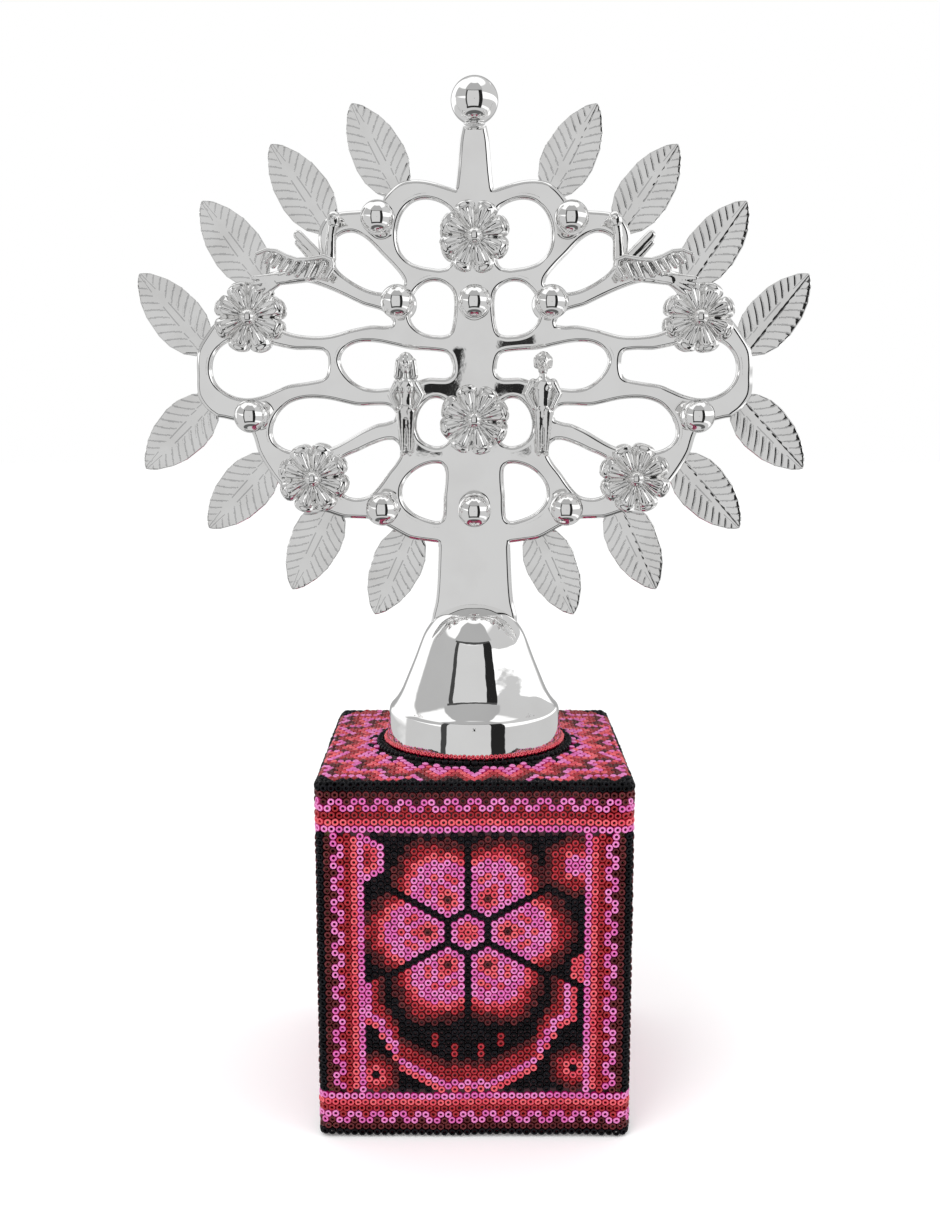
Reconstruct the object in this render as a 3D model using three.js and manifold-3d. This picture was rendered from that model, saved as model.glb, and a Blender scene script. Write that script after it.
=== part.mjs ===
// Tree of life: a flat cut metal tree with leaves, flowers, balls, birds and two figures,
// on a bell-shaped foot, bolted through a wooden block that wears a coat of beads in wax.
// Millimetres. X to the right, Y to the back, Z up. The origin is the centre of the felt
// pad's underside, and the tree stands in the plane Y = 0.

import * as THREE from 'three';
import { mergeVertices } from 'three/addons/utils/BufferGeometryUtils.js';
import Module from 'manifold-3d';

const wasm = await Module();
wasm.setup();

// ---------------------------------------------------------------- driving dimensions
const GAP = 0.3;                     // clearance between pieces that touch

const COAT_WIDTH = 84;               // over the beads
const COAT_THICKNESS = 2.1;
const COAT_TOP = 99;
const COAT_CORNER = 3;
const FELT_THICKNESS = 1;
const FELT_WIDTH = 79;

const BOLT_RADIUS = 2.5;
const BOLT_HEAD_RADIUS = 4.6;
const BOLT_HEAD_HEIGHT = 3.5;
const COUNTERBORE_RADIUS = 7;
const COUNTERBORE_DEPTH = 9;
const HOLE_CLEARANCE = 0.5;

const BELL_RIM_RADIUS = 24.8;
const BELL_WALL = 1.6;
const FOOT_PLATE_RADIUS = 22.6;
const FOOT_PLATE_THICKNESS = 3;

const PLATE_THICKNESS = 3;           // of the cut metal tree
const TANG_BOTTOM = 131;             // the trunk ends inside the bell
const FINIAL_RADIUS = 6.4;
const FINIAL_CENTRE = 276.1;
const SPIRE_TOP = 269.5;

const LEAF_LENGTH = 28;
const LEAF_THICKNESS = 1.2;
const MIDRIB_THICKNESS = 1.8;

const BALL_RADIUS = 4.6;
const BALL_STAND_OFF = 9;            // from the plate's middle plane to the ball's centre
const BALL_POST_RADIUS = 1.3;

const FLOWER_RADIUS = 10.2;
const FLOWER_PETALS = 8;
const FLOWER_PETAL_START = 3.6;      // from the plate's middle plane
const FLOWER_PETAL_THICKNESS = 1.6;
const FLOWER_POST_RADIUS = 1.6;
const FLOWER_CENTRE_RADIUS = 2.3;

const RELIEF_DISTANCE = 8;           // from the plate's middle plane to birds and figures
const BIRD_THICKNESS = 2.2;
const WING_THICKNESS = 1.2;
const RELIEF_POST_RADIUS = 1.1;
const FIGURE_DEPTH = 0.72;           // a figure's front-to-back size against its width

// Half of the tree's edge, from the spire down to the tang, as smooth runs [x, z] that
// meet at corners. The other half is its mirror image.
const TREE_EDGE_RUNS = [
  [[3.2, SPIRE_TOP], [3.9, 266], [4.6, 258], [5.2, 253]],
  [[5.2, 253], [8, 253.9], [14, 255.4], [20, 254.8], [24.5, 250.9], [26.4, 248]],
  [[26.4, 248], [31.2, 247.4], [36.7, 246.9], [40.5, 245.2], [42.6, 241], [42.5, 235.5]],
  [[42.5, 235.5], [45, 233.3], [51, 232], [58.5, 230], [68, 221.5], [74.3, 213.5],
    [76.4, 209.6], [76.8, 203], [76.6, 197.9], [74, 193.9], [71, 191.8]],
  [[71, 191.8], [67.3, 191], [63.5, 189.7], [61.5, 186.8], [60.3, 182.6], [57.8, 178],
    [53, 171.7], [46.5, 167], [40.4, 165.1], [36.2, 163.8], [30, 163.5], [26, 162.2],
    [22, 160.1], [18, 158], [14, 157.3], [10.1, 156.8]],
  [[10.1, 156.8], [10.5, 147], [11.1, 140], [12.1, 135.6], [12.1, TANG_BOTTOM]],
];

// The openings in half of the tree, each a smooth closed curve [x, z].
const WINDOWS = {
  under_spire: [[6.3, 247], [8.2, 248.9], [12.5, 250.3], [16.5, 249.6], [19.6, 246.5],
    [20.9, 241.5], [20.2, 236.8], [17.2, 233.6], [12, 232.2], [7.6, 232.2], [6.2, 234.4],
    [6, 240.5]],
  bird_branch: [[37.3, 240.4], [33, 241.6], [29.3, 239.8], [25.5, 236], [20.2, 230.3],
    [19.4, 227.9], [21.6, 226], [25, 225.6], [29, 226.4], [34, 229], [37.6, 232.2],
    [38.5, 236]],
  upper_inner: [[5.8, 225.3], [7.6, 227.6], [10.6, 228.6], [13.8, 227.9], [16.6, 225],
    [17.8, 220.6], [16.9, 217.2], [14.2, 214.9], [10.5, 214.1], [7.2, 214.4],
    [6.2, 216.2]],
  upper_outer: [[55.2, 225.8], [52.3, 228], [48.5, 228.7], [43, 227.7], [36, 224.9],
    [30, 222.1], [25.5, 220.8], [23, 218.9], [22.7, 216.9], [28, 216.8], [34, 215.7],
    [40, 214.1], [47, 214.1], [52.5, 215.5], [56, 218.3], [56.7, 222.3]],
  arm_outer: [[69.8, 210.9], [71.9, 207.8], [72.2, 203.2], [70.4, 199.9], [66.6, 197.6],
    [62.3, 197], [57.5, 198.1], [51.5, 200.6], [42.3, 202.2], [41, 203.4], [40.7, 208.7],
    [41.8, 210], [49, 210.2], [55, 211.4], [62, 213], [66.5, 212.7]],
  arm_inner: [[36.9, 207.2], [35.5, 210.4], [31.5, 212.2], [25.5, 212], [17.5, 210.3],
    [8, 209.4], [6.7, 208.1], [6.3, 203.8], [7.6, 202.6], [12.5, 202.6], [17.5, 201.2],
    [24.5, 199.7], [30.3, 199.9], [34.6, 202.7]],
  lower_outer: [[56.1, 187.3], [55.1, 191.4], [51.6, 195.3], [46.5, 196.9], [40, 196.6],
    [32, 194.9], [24.2, 194.9], [22.1, 193.4], [22.6, 191], [27, 189.9], [32, 187.6],
    [38, 184.2], [44.5, 182.2], [51.5, 182.6], [55, 184.6]],
  heart: [[7, 194.9], [9.8, 196.9], [12.7, 196.4], [15.2, 193.4], [16, 189.5],
    [15, 186], [12.3, 184.1], [9.3, 183.9], [7.2, 185.4], [6.8, 190]],
  lower_middle: [[37.2, 179.9], [32, 182.5], [26.5, 184.9], [22.6, 185.5], [20.8, 183.7],
    [20.9, 181], [24.2, 176.4], [29, 170.4], [32.4, 169.3], [36, 170.1], [38, 173],
    [38.3, 177]],
  beside_trunk: [[8.3, 177.5], [9.4, 178.8], [13.4, 178.5], [17.5, 176.2], [20, 172.4],
    [19.7, 168.3], [17, 165.2], [12.8, 163.3], [9.7, 162.9], [8.9, 164.2], [8.6, 170]],
};

// Leaves on half of the rim: the tip, and the middle of the base, where it meets the rim.
const LEAVES = [
  { tip: [33, 275.4], base: [21.4, 253.5] },
  { tip: [54.9, 264.8], base: [41, 244.4] },
  { tip: [74, 250], base: [60, 230.8] },
  { tip: [91.6, 230.7], base: [76, 212.2] },
  { tip: [91.7, 177.6], base: [74.6, 194.6] },
  { tip: [74.6, 160.9], base: [58, 178.6] },
  { tip: [51.4, 143.5], base: [40.8, 164.9] },
  { tip: [28.2, 136.3], base: [18.2, 158.4] },
];
const LEAF_HALF_WIDTHS = [[0, 0], [2, 2.4], [6, 5], [10, 6.4], [16, 7.2], [20, 6.8],
  [24, 5.2], [27, 2.4], [LEAF_LENGTH, 0]];      // [distance from the tip, half width]

// Balls and flowers, front and back alike; those off the middle line are mirrored.
const BALLS = { spire: [25.8, 244.7], crown: [20.7, 222.8], crown_middle: [0, 222.8],
  arm: [60.7, 192.4], base: [25.2, 167.1], base_middle: [0, 166.6] };
const FLOWERS = { top: [0, 240.4], shoulder: [61.4, 218.9], heart: [0, 191.2],
  low: [44.7, 175.1] };

// A bird that faces the trunk, and its near wing, which lies on the body.
const BIRD_EDGE = [[34.8, 244], [36.2, 245], [38.2, 246.1], [39.6, 245], [39.9, 240.8],
  [41.6, 237.9], [44.5, 240.9], [47.9, 243], [46.8, 239.6], [46, 236.4], [49.5, 237],
  [52.6, 238.7], [57.2, 237.6], [53.9, 234.4], [50.6, 231.1], [54.5, 231.1], [58.7, 232],
  [58.5, 228], [56, 224.9], [52.5, 228], [48, 229.2], [42.5, 229.2], [39.3, 230.8],
  [37.8, 234.4], [37.3, 240], [36.9, 243]];
const BIRD_WING = [[39, 236], [44.5, 235.6], [47.3, 235.9], [52.6, 238.3], [56.6, 237.4],
  [53.3, 234.6], [49, 232.4], [44.3, 231.8], [41.5, 232], [39.8, 234]];
const BIRD_POSTS = [[40.6, 236.4], [50, 230.2]];

// The two figures: [height above the feet, half width] from the feet to the neck.
const FIGURE_X = 18.6;
const FIGURE_FEET = 181.4;
const BODY_PROFILE = [[0, 1.6], [1.2, 1.5], [4, 1.6], [7.5, 2.3], [10.4, 2.9], [12.6, 2.5],
  [15, 2], [17.5, 2.6], [19.6, 2.9], [21, 2.3], [21.9, 1], [24, 0.9]];
const HEAD_HEIGHT = 24.9;            // the head's centre above the feet
const HEAD_RADIUS = 1.9;
const ARM_RADIUS = 0.75;
const ARM_ROUTE = [[2.6, 20.6], [4.4, 17.9], [4.4, 16.2], [2.2, 13]];
const FIGURE_POSTS = [16, 3];        // heights of the posts that carry a figure

// ---------------------------------------------------------------- finishes
const finish = (color, roughness, metalness) =>
  () => new THREE.MeshStandardMaterial({ color, roughness, metalness });
const silver = finish(0xc9c8c6, 0.12, 1);
const wax = finish(0x5a1c26, 0.45, 0);
const wood = finish(0xb98f63, 0.7, 0);
const felt = finish(0x3a2a26, 0.95, 0);
const steel = finish(0x9c9ea0, 0.35, 1);

// ---------------------------------------------------------------- solids
function toManifold(geometry) {
  const source = geometry.clone();
  source.deleteAttribute('normal');
  source.deleteAttribute('uv');
  const merged = mergeVertices(source, 1e-4);
  return new wasm.Manifold(new wasm.Mesh({
    numProp: 3,
    vertProperties: new Float32Array(merged.attributes.position.array),
    triVerts: new Uint32Array(merged.index.array),
  }));
}

function toGeometry(solid) {
  const { vertProperties, triVerts } = solid.getMesh();
  const geometry = new THREE.BufferGeometry();
  geometry.setAttribute('position', new THREE.BufferAttribute(vertProperties, 3));
  geometry.setIndex(new THREE.BufferAttribute(triVerts, 1));
  geometry.computeVertexNormals();
  return geometry;
}

function join(...geometries) {
  return toGeometry(geometries.map(toManifold).reduce((all, next) => all.add(next)));
}

function piece(name, geometry, material) {
  const mesh = new THREE.Mesh(geometry, material());
  mesh.name = name;
  return mesh;
}

// A smooth curve through [x, z] points, with a set number of steps between neighbours.
function smooth(points, closed, steps = 2) {
  const nodes = points.map(([x, z]) => new THREE.Vector3(x, z, 0));
  const curve = new THREE.CatmullRomCurve3(nodes, closed, 'centripetal');
  const spans = closed ? points.length : points.length - 1;
  const samples = curve.getPoints(spans * steps);
  return samples.slice(0, -1).map((p) => new THREE.Vector2(p.x, p.y));
}

// A flat outline in X and Z, grown to a thickness centred on the plane Y = middle.
function flatSolid(shape, thickness, middle = 0) {
  const geometry = new THREE.ExtrudeGeometry(shape, {
    depth: thickness, bevelEnabled: false });
  return geometry.rotateX(Math.PI / 2).translate(0, middle + thickness / 2, 0);
}

const mirrored = (points) => points.map(([x, z]) => [-x, z]);

// A round rod along Y, from one depth to another, at [x, z].
function post([x, z], radius, from, to) {
  const rod = new THREE.CylinderGeometry(radius, radius, Math.abs(to - from), 8);
  return rod.translate(x, (from + to) / 2, z);
}

// ---------------------------------------------------------------- block
function squarePrism(width, corner, bottom, top) {
  const half = width / 2;
  const side = half - corner;
  const outline = new THREE.Shape();
  outline.absarc(side, side, corner, 0, Math.PI / 2);
  outline.absarc(-side, side, corner, Math.PI / 2, Math.PI);
  outline.absarc(-side, -side, corner, Math.PI, Math.PI * 1.5);
  outline.absarc(side, -side, corner, Math.PI * 1.5, Math.PI * 2);
  const geometry = new THREE.ExtrudeGeometry(outline, {
    depth: top - bottom, bevelEnabled: false, curveSegments: 5 });
  return geometry.translate(0, 0, bottom);
}

function uprightCylinder(radius, bottom, top, sides = 32) {
  const cylinder = new THREE.CylinderGeometry(radius, radius, top - bottom, sides);
  return cylinder.rotateX(Math.PI / 2).translate(0, 0, (top + bottom) / 2);
}

const BLOCK_BOTTOM = FELT_THICKNESS + GAP;
const BLOCK_TOP = COAT_TOP - COAT_THICKNESS - GAP;
const BLOCK_WIDTH = COAT_WIDTH - 2 * (COAT_THICKNESS + GAP);
const BELL_BOTTOM = BLOCK_TOP + GAP;

function feltPad() {
  return piece('felt_pad', squarePrism(FELT_WIDTH, COAT_CORNER, 0, FELT_THICKNESS), felt);
}

function woodenBlock() {
  const block = toManifold(squarePrism(BLOCK_WIDTH, 1.5, BLOCK_BOTTOM, BLOCK_TOP));
  const counterbore = uprightCylinder(COUNTERBORE_RADIUS, 0, COUNTERBORE_DEPTH);
  const hole = uprightCylinder(BOLT_RADIUS + HOLE_CLEARANCE, 0, BLOCK_TOP + 1, 20);
  const drilled = block.subtract(toManifold(counterbore)).subtract(toManifold(hole));
  return piece('wooden_block', toGeometry(drilled), wood);
}

// Wax and beads: a cap over the block's four sides and top, with a round hole for the bell.
function beadCoat() {
  const outside = toManifold(squarePrism(COAT_WIDTH, COAT_CORNER, FELT_THICKNESS, COAT_TOP));
  const inside = squarePrism(COAT_WIDTH - 2 * COAT_THICKNESS, 1.7, 0,
    COAT_TOP - COAT_THICKNESS);
  const bellHole = uprightCylinder(BELL_RIM_RADIUS + GAP, 50, COAT_TOP + 1, 48);
  const coat = outside.subtract(toManifold(inside)).subtract(toManifold(bellHole));
  return piece('bead_coat', toGeometry(coat), wax);
}

// ---------------------------------------------------------------- bell foot
// The bell's outside, [radius, height], from its rim to its crown.
const BELL_OUTSIDE = [[BELL_RIM_RADIUS, BELL_BOTTOM], [BELL_RIM_RADIUS, 103.5],
  [24.1, 108.3], [23.2, 109], [21.6, 112.8], [19.2, 117.6], [16.6, 124], [14.3, 130],
  [12.7, 133.4], [11, 135.8], [8, 138], [4, 139.2]];
const BELL_CROWN = 139.6;

function bellFoot() {
  const inner = BELL_OUTSIDE.map(([r, z]) => new THREE.Vector2(r - BELL_WALL, z));
  inner.slice(1).forEach((p) => { p.y -= BELL_WALL * (1 - p.x / BELL_RIM_RADIUS); });
  const outer = BELL_OUTSIDE.map(([r, z]) => new THREE.Vector2(r, z));
  const profile = [new THREE.Vector2(0, BELL_CROWN - BELL_WALL), ...inner.reverse(),
    ...outer, new THREE.Vector2(0, BELL_CROWN)];
  const shell = toManifold(new THREE.LatheGeometry(profile, 36).rotateX(Math.PI / 2));
  const slotWidth = 2 * 12.1 + 2 * GAP;
  const slot = new THREE.BoxGeometry(slotWidth, PLATE_THICKNESS + 2 * GAP, 20);
  slot.translate(0, 0, TANG_BOTTOM - GAP + 10);
  return piece('foot_bell', toGeometry(shell.subtract(toManifold(slot))), silver);
}

function footPlate() {
  const top = BELL_BOTTOM + FOOT_PLATE_THICKNESS;
  const disc = toManifold(uprightCylinder(FOOT_PLATE_RADIUS, BELL_BOTTOM, top));
  const hole = uprightCylinder(BOLT_RADIUS + GAP, BELL_BOTTOM - 1, top + 1, 20);
  return piece('foot_plate', toGeometry(disc.subtract(toManifold(hole))), steel);
}

function fixingBolt() {
  const headTop = COUNTERBORE_DEPTH - GAP;
  const head = uprightCylinder(BOLT_HEAD_RADIUS, headTop - BOLT_HEAD_HEIGHT, headTop, 6);
  const shank = uprightCylinder(BOLT_RADIUS, headTop - 1, BELL_BOTTOM + 9, 20);
  return piece('fixing_bolt', join(head, shank), steel);
}

// ---------------------------------------------------------------- tree plate
function treeShape() {
  const right = TREE_EDGE_RUNS.flatMap((run) => smooth(run, false));
  right.push(new THREE.Vector2(...TREE_EDGE_RUNS.at(-1).at(-1)));
  const left = right.map((p) => new THREE.Vector2(-p.x, p.y)).reverse();
  const shape = new THREE.Shape([...right, ...left].reverse());
  for (const opening of Object.values(WINDOWS)) {
    shape.holes.push(new THREE.Path(smooth(opening, true)));
    shape.holes.push(new THREE.Path(smooth(mirrored(opening), true)));
  }
  return shape;
}

function treePlate() {
  return piece('tree_plate', flatSolid(treeShape(), PLATE_THICKNESS), silver);
}

// Copies of the plate moved by the gap to each side, to trim what is fastened to its rim.
function plateTrimmer() {
  const plate = toManifold(flatSolid(treeShape(), PLATE_THICKNESS));
  const moves = [[GAP, GAP], [GAP, -GAP], [-GAP, GAP], [-GAP, -GAP]];
  return moves.map(([x, z]) => plate.translate([x, 0, z]))
    .reduce((all, next) => all.add(next));
}

function finial() {
  const profile = [[0, SPIRE_TOP + GAP], [2.2, SPIRE_TOP + GAP], [2.4, SPIRE_TOP + 0.9]];
  for (let step = 1; step < 9; step += 1) {
    const angle = -1.13 + (step / 9) * (1.13 + Math.PI / 2);
    profile.push([FINIAL_RADIUS * Math.cos(angle),
      FINIAL_CENTRE + FINIAL_RADIUS * Math.sin(angle)]);
  }
  profile.push([0, FINIAL_CENTRE + FINIAL_RADIUS]);
  const points = profile.map(([r, z]) => new THREE.Vector2(r, z));
  const ball = new THREE.LatheGeometry(points, 20).rotateX(Math.PI / 2);
  return piece('finial_ball', ball, silver);
}

// ---------------------------------------------------------------- leaves
// A leaf lies flat with its tip at the origin, and runs along +X to its base.
function leafBlank() {
  const side = smooth(LEAF_HALF_WIDTHS, false, 1);
  const base = new THREE.Vector2(LEAF_LENGTH, 0);
  const under = side.slice(1).map((p) => new THREE.Vector2(p.x, -p.y)).reverse();
  const blade = flatSolid(new THREE.Shape([...side, base, ...under]), LEAF_THICKNESS);
  const rib = new THREE.Shape([[2.5, 0.3], [2.5, -0.3], [27, -1.3], [27, 1.3]]
    .map((p) => new THREE.Vector2(...p)));
  return join(blade, flatSolid(rib, MIDRIB_THICKNESS));
}

// Turned and moved to its place, then trimmed where it meets the plate's rim.
function leaf(name, blank, tip, base, trimmer) {
  const lean = Math.atan2(base[1] - tip[1], base[0] - tip[0]);
  const placed = blank.clone().rotateY(-lean).translate(tip[0], 0, tip[1]);
  const trimmed = toManifold(placed).subtract(trimmer);
  return piece(name, toGeometry(trimmed), silver);
}

function leaves() {
  const blank = leafBlank();
  const trimmer = plateTrimmer();
  return LEAVES.flatMap(({ tip, base }, index) => [
    leaf(`leaf_right_${index + 1}`, blank, tip, base, trimmer),
    leaf(`leaf_left_${index + 1}`, blank, [-tip[0], tip[1]], [-base[0], base[1]], trimmer),
  ]);
}

// ---------------------------------------------------------------- balls and flowers
const POST_START = PLATE_THICKNESS / 2 + GAP;

// A ball on a short post. It stands along +Y from the plate's middle plane.
function ballGeometry() {
  const profile = [[0, POST_START], [BALL_POST_RADIUS, POST_START]];
  const first = -Math.acos(BALL_POST_RADIUS / BALL_RADIUS);
  const steps = 7;
  for (let step = 0; step < steps; step += 1) {
    const angle = first + (step / steps) * (Math.PI / 2 - first);
    profile.push([BALL_RADIUS * Math.cos(angle),
      BALL_STAND_OFF + BALL_RADIUS * Math.sin(angle)]);
  }
  profile.push([0, BALL_STAND_OFF + BALL_RADIUS]);
  return new THREE.LatheGeometry(profile.map(([r, y]) => new THREE.Vector2(r, y)), 10);
}

// A flower of round-ended petals with a ball at its centre, on a short post along +Y.
function flowerGeometry() {
  const outline = [];
  for (let petal = 0; petal < FLOWER_PETALS; petal += 1) {
    for (const [turn, reach] of [[0, 0.72], [0.2, 0.93], [0.5, 1], [0.8, 0.93]]) {
      const angle = ((petal + turn) / FLOWER_PETALS) * Math.PI * 2;
      outline.push(new THREE.Vector2(
        FLOWER_RADIUS * reach * Math.cos(angle), FLOWER_RADIUS * reach * Math.sin(angle)));
    }
  }
  const petals = new THREE.ExtrudeGeometry(new THREE.Shape(outline), {
    depth: FLOWER_PETAL_THICKNESS, bevelEnabled: false });
  petals.rotateX(-Math.PI / 2).translate(0, FLOWER_PETAL_START, 0);
  const front = FLOWER_PETAL_START + FLOWER_PETAL_THICKNESS;
  const r = FLOWER_CENTRE_RADIUS;
  const profile = [[0, POST_START], [FLOWER_POST_RADIUS, POST_START],
    [FLOWER_POST_RADIUS, front - 0.5], [r, front + 0.6], [r * 0.8, front + 1.6],
    [0, front + 2.3]];
  const centre = new THREE.LatheGeometry(profile.map((p) => new THREE.Vector2(...p)), 8);
  return join(petals, centre);
}

// Copies of one ornament on both faces of the plate, and on both sides of the trunk.
function ornaments(kind, geometry, places) {
  const front = new THREE.Group();
  const back = new THREE.Group();
  front.rotation.x = Math.PI;
  for (const [place, [x, z]] of Object.entries(places)) {
    const sides = x === 0 ? [['', 0]] : [['_left', -x], ['_right', x]];
    for (const [side, sideX] of sides) {
      const near = piece(`${kind}_front_${place}${side}`, geometry, silver);
      near.position.set(sideX, 0, -z);
      front.add(near);
      const far = piece(`${kind}_back_${place}${side}`, geometry, silver);
      far.position.set(sideX, 0, z);
      back.add(far);
    }
  }
  return [front, back];
}

// ---------------------------------------------------------------- birds and figures
function bird(name, side) {
  const flip = (points) => points.map(([x, z]) => new THREE.Vector2(side * x, z));
  const body = flatSolid(new THREE.Shape(flip(BIRD_EDGE)), BIRD_THICKNESS, -RELIEF_DISTANCE);
  const wingMiddle = -RELIEF_DISTANCE - BIRD_THICKNESS / 2 - WING_THICKNESS / 2 + 0.1;
  const wing = flatSolid(new THREE.Shape(flip(BIRD_WING)), WING_THICKNESS, wingMiddle);
  const posts = BIRD_POSTS.map(([x, z]) =>
    post([side * x, z], RELIEF_POST_RADIUS, -POST_START, -RELIEF_DISTANCE));
  return piece(name, join(body, wing, ...posts), silver);
}

function arm(side) {
  const route = new THREE.CatmullRomCurve3(
    ARM_ROUTE.map(([x, z]) => new THREE.Vector3(side * x, 0, z)));
  const section = new THREE.Shape();
  section.absarc(0, 0, ARM_RADIUS, 0, Math.PI * 2);
  return new THREE.ExtrudeGeometry(section, {
    steps: 8, curveSegments: 3, extrudePath: route });
}

// A standing figure with its hands on its hips, its feet together on the origin.
function figureGeometry(hairReach) {
  const profile = [[0, 0], ...BODY_PROFILE.map(([z, r]) => [r, z]), [0, 24.2]];
  const body = new THREE.LatheGeometry(profile.map((p) => new THREE.Vector2(...p)), 10);
  body.rotateX(Math.PI / 2).scale(1, FIGURE_DEPTH, 1);
  const head = new THREE.SphereGeometry(HEAD_RADIUS, 10, 8);
  head.scale(1, 1, 1.25).translate(0, 0, HEAD_HEIGHT);
  const hair = new THREE.SphereGeometry(1, 10, 8);
  hair.scale(HEAD_RADIUS + 0.9, HEAD_RADIUS, hairReach);
  hair.translate(0, 0.7, HEAD_HEIGHT + 3.2 - hairReach);
  return join(body, head, hair, arm(1), arm(-1));
}

function figure(name, x, hairReach) {
  const posts = FIGURE_POSTS.map((z) =>
    post([0, z], RELIEF_POST_RADIUS, 0, RELIEF_DISTANCE - POST_START));
  const mesh = piece(name, join(figureGeometry(hairReach), ...posts), silver);
  mesh.position.set(x, -RELIEF_DISTANCE, FIGURE_FEET);
  return mesh;
}

// ---------------------------------------------------------------- assembly
const tree = new THREE.Group();
tree.add(treePlate(), finial(), ...leaves());
tree.add(...ornaments('ball', ballGeometry(), BALLS));
tree.add(...ornaments('flower', flowerGeometry(), FLOWERS));
tree.add(bird('bird_left', -1), bird('bird_right', 1));
tree.add(figure('figure_woman', -FIGURE_X, 4.6), figure('figure_man', FIGURE_X, 2.8));

const foot = new THREE.Group();
foot.add(feltPad(), woodenBlock(), beadCoat(), bellFoot(), footPlate(), fixingBolt());

const treeOfLife = new THREE.Group();
treeOfLife.add(foot, tree);

export default treeOfLife;
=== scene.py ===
"""Looks of the tree of life ornament: a polished metal tree on a cube covered with beads.

Lengths are in millimetres and become metres when a mesh is made. Only the floor and the
lamps of the studio are given in metres.
"""

import math

import bmesh
import bpy
import numpy as np
from mathutils import Matrix, Vector
from mathutils.geometry import tessellate_polygon


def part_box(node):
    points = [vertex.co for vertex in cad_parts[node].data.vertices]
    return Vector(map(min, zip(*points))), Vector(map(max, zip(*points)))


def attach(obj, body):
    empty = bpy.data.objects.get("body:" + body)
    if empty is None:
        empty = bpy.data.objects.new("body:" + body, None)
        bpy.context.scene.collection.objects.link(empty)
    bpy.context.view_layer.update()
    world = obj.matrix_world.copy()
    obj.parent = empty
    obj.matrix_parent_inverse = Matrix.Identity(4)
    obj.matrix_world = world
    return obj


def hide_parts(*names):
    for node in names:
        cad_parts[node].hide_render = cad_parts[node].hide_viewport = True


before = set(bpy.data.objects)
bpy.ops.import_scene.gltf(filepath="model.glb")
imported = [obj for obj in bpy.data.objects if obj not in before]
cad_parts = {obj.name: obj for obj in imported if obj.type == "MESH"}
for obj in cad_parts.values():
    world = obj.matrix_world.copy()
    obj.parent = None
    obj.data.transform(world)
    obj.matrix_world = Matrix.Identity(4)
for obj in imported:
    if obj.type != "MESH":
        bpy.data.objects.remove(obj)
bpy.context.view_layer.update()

MM = 0.001
TAU = 2 * math.pi
rng = np.random.default_rng(7)

# ---- nodes
def node(tree, kind, inputs=None, **settings):
    """A shader node with its settings, and its inputs set or linked."""
    made = tree.nodes.new(kind)
    for key, value in settings.items():
        setattr(made, key, value)
    for key, value in (inputs or {}).items():
        if isinstance(value, bpy.types.NodeSocket):
            tree.links.new(value, made.inputs[key])
        else:
            made.inputs[key].default_value = value
    return made


def sum_up(tree, op, a, b=0.0, clamp=False):
    return node(tree, "ShaderNodeMath", {0: a, 1: b}, operation=op, use_clamp=clamp).outputs[0]


def material(name, shader):
    """A material with one Principled shader and its plain values."""
    made = bpy.data.materials.new(name)
    made.use_nodes = True
    tree = made.node_tree
    tree.nodes.clear()
    principled = node(tree, "ShaderNodeBsdfPrincipled", shader)
    node(tree, "ShaderNodeOutputMaterial", {"Surface": principled.outputs[0]})
    return made, tree, principled


def noise(tree, scale, detail=3.0, stretch=(1, 1, 1)):
    where = node(tree, "ShaderNodeTexCoord").outputs["Object"]
    spread = node(tree, "ShaderNodeMapping", {"Vector": where, "Scale": stretch})
    return node(tree, "ShaderNodeTexNoise", {
        "Vector": spread.outputs[0], "Scale": scale, "Detail": detail}).outputs["Fac"]


def spread_to(tree, value, low, high, start=0.35, end=0.65):
    return node(tree, "ShaderNodeMapRange", {
        "Value": value, "From Min": start, "From Max": end,
        "To Min": low, "To Max": high}).outputs[0]


def blend_colours(tree, factor, one, other):
    colours = {0: factor, 6: (*one, 1), 7: (*other, 1)}
    return node(tree, "ShaderNodeMix", colours, data_type="RGBA").outputs[2]


def metal(name, colour, tarnish, rough, wave, grain):
    """Polished metal: smoky in places, with hand-worked waves and fine wiping marks. Waves
    and marks are each given as [how many to a metre, height in millimetres]."""
    made, tree, shader = material(name, {"Metallic": 1.0})
    smoke = spread_to(tree, noise(tree, 90, 4), 0, 1, 0.42, 0.75)
    tree.links.new(blend_colours(tree, smoke, colour, tarnish), shader.inputs["Base Color"])
    wiped = noise(tree, 420, 2, (1, 1, 0.25))
    tree.links.new(spread_to(tree, wiped, *rough), shader.inputs["Roughness"])
    normal = {}
    for (scale, height), detail in ((wave, 2), (grain, 3)):
        bump = node(tree, "ShaderNodeBump", {
            "Height": noise(tree, scale, detail), "Strength": 1.0, "Distance": height * MM,
            **normal})
        normal = {"Normal": bump.outputs[0]}
    tree.links.new(bump.outputs[0], shader.inputs["Normal"])
    return made


SILVER = metal("polished_silver", (0.93, 0.93, 0.925), (0.89, 0.885, 0.88), (0.01, 0.03),
               (160, 0.05), (900, 0.0012))
SILVER_FLAT = metal("polished_plate", (0.93, 0.93, 0.925), (0.88, 0.875, 0.87), (0.005, 0.018),
                    (60, 0.03), (700, 0.001))
SILVER_CAST = metal("cast_silver", (0.9, 0.9, 0.895), (0.8, 0.795, 0.785), (0.02, 0.06),
                    (260, 0.03), (1500, 0.002))
# Duller, darker silver for the lines of the leaves: painted shade in their grooves and along
# the edges of the midrib.
VEIN_SHADE = metal("vein_shade_silver", (0.62, 0.62, 0.62), (0.5, 0.5, 0.5), (0.15, 0.3),
             (260, 0.03), (1500, 0.003))
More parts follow.
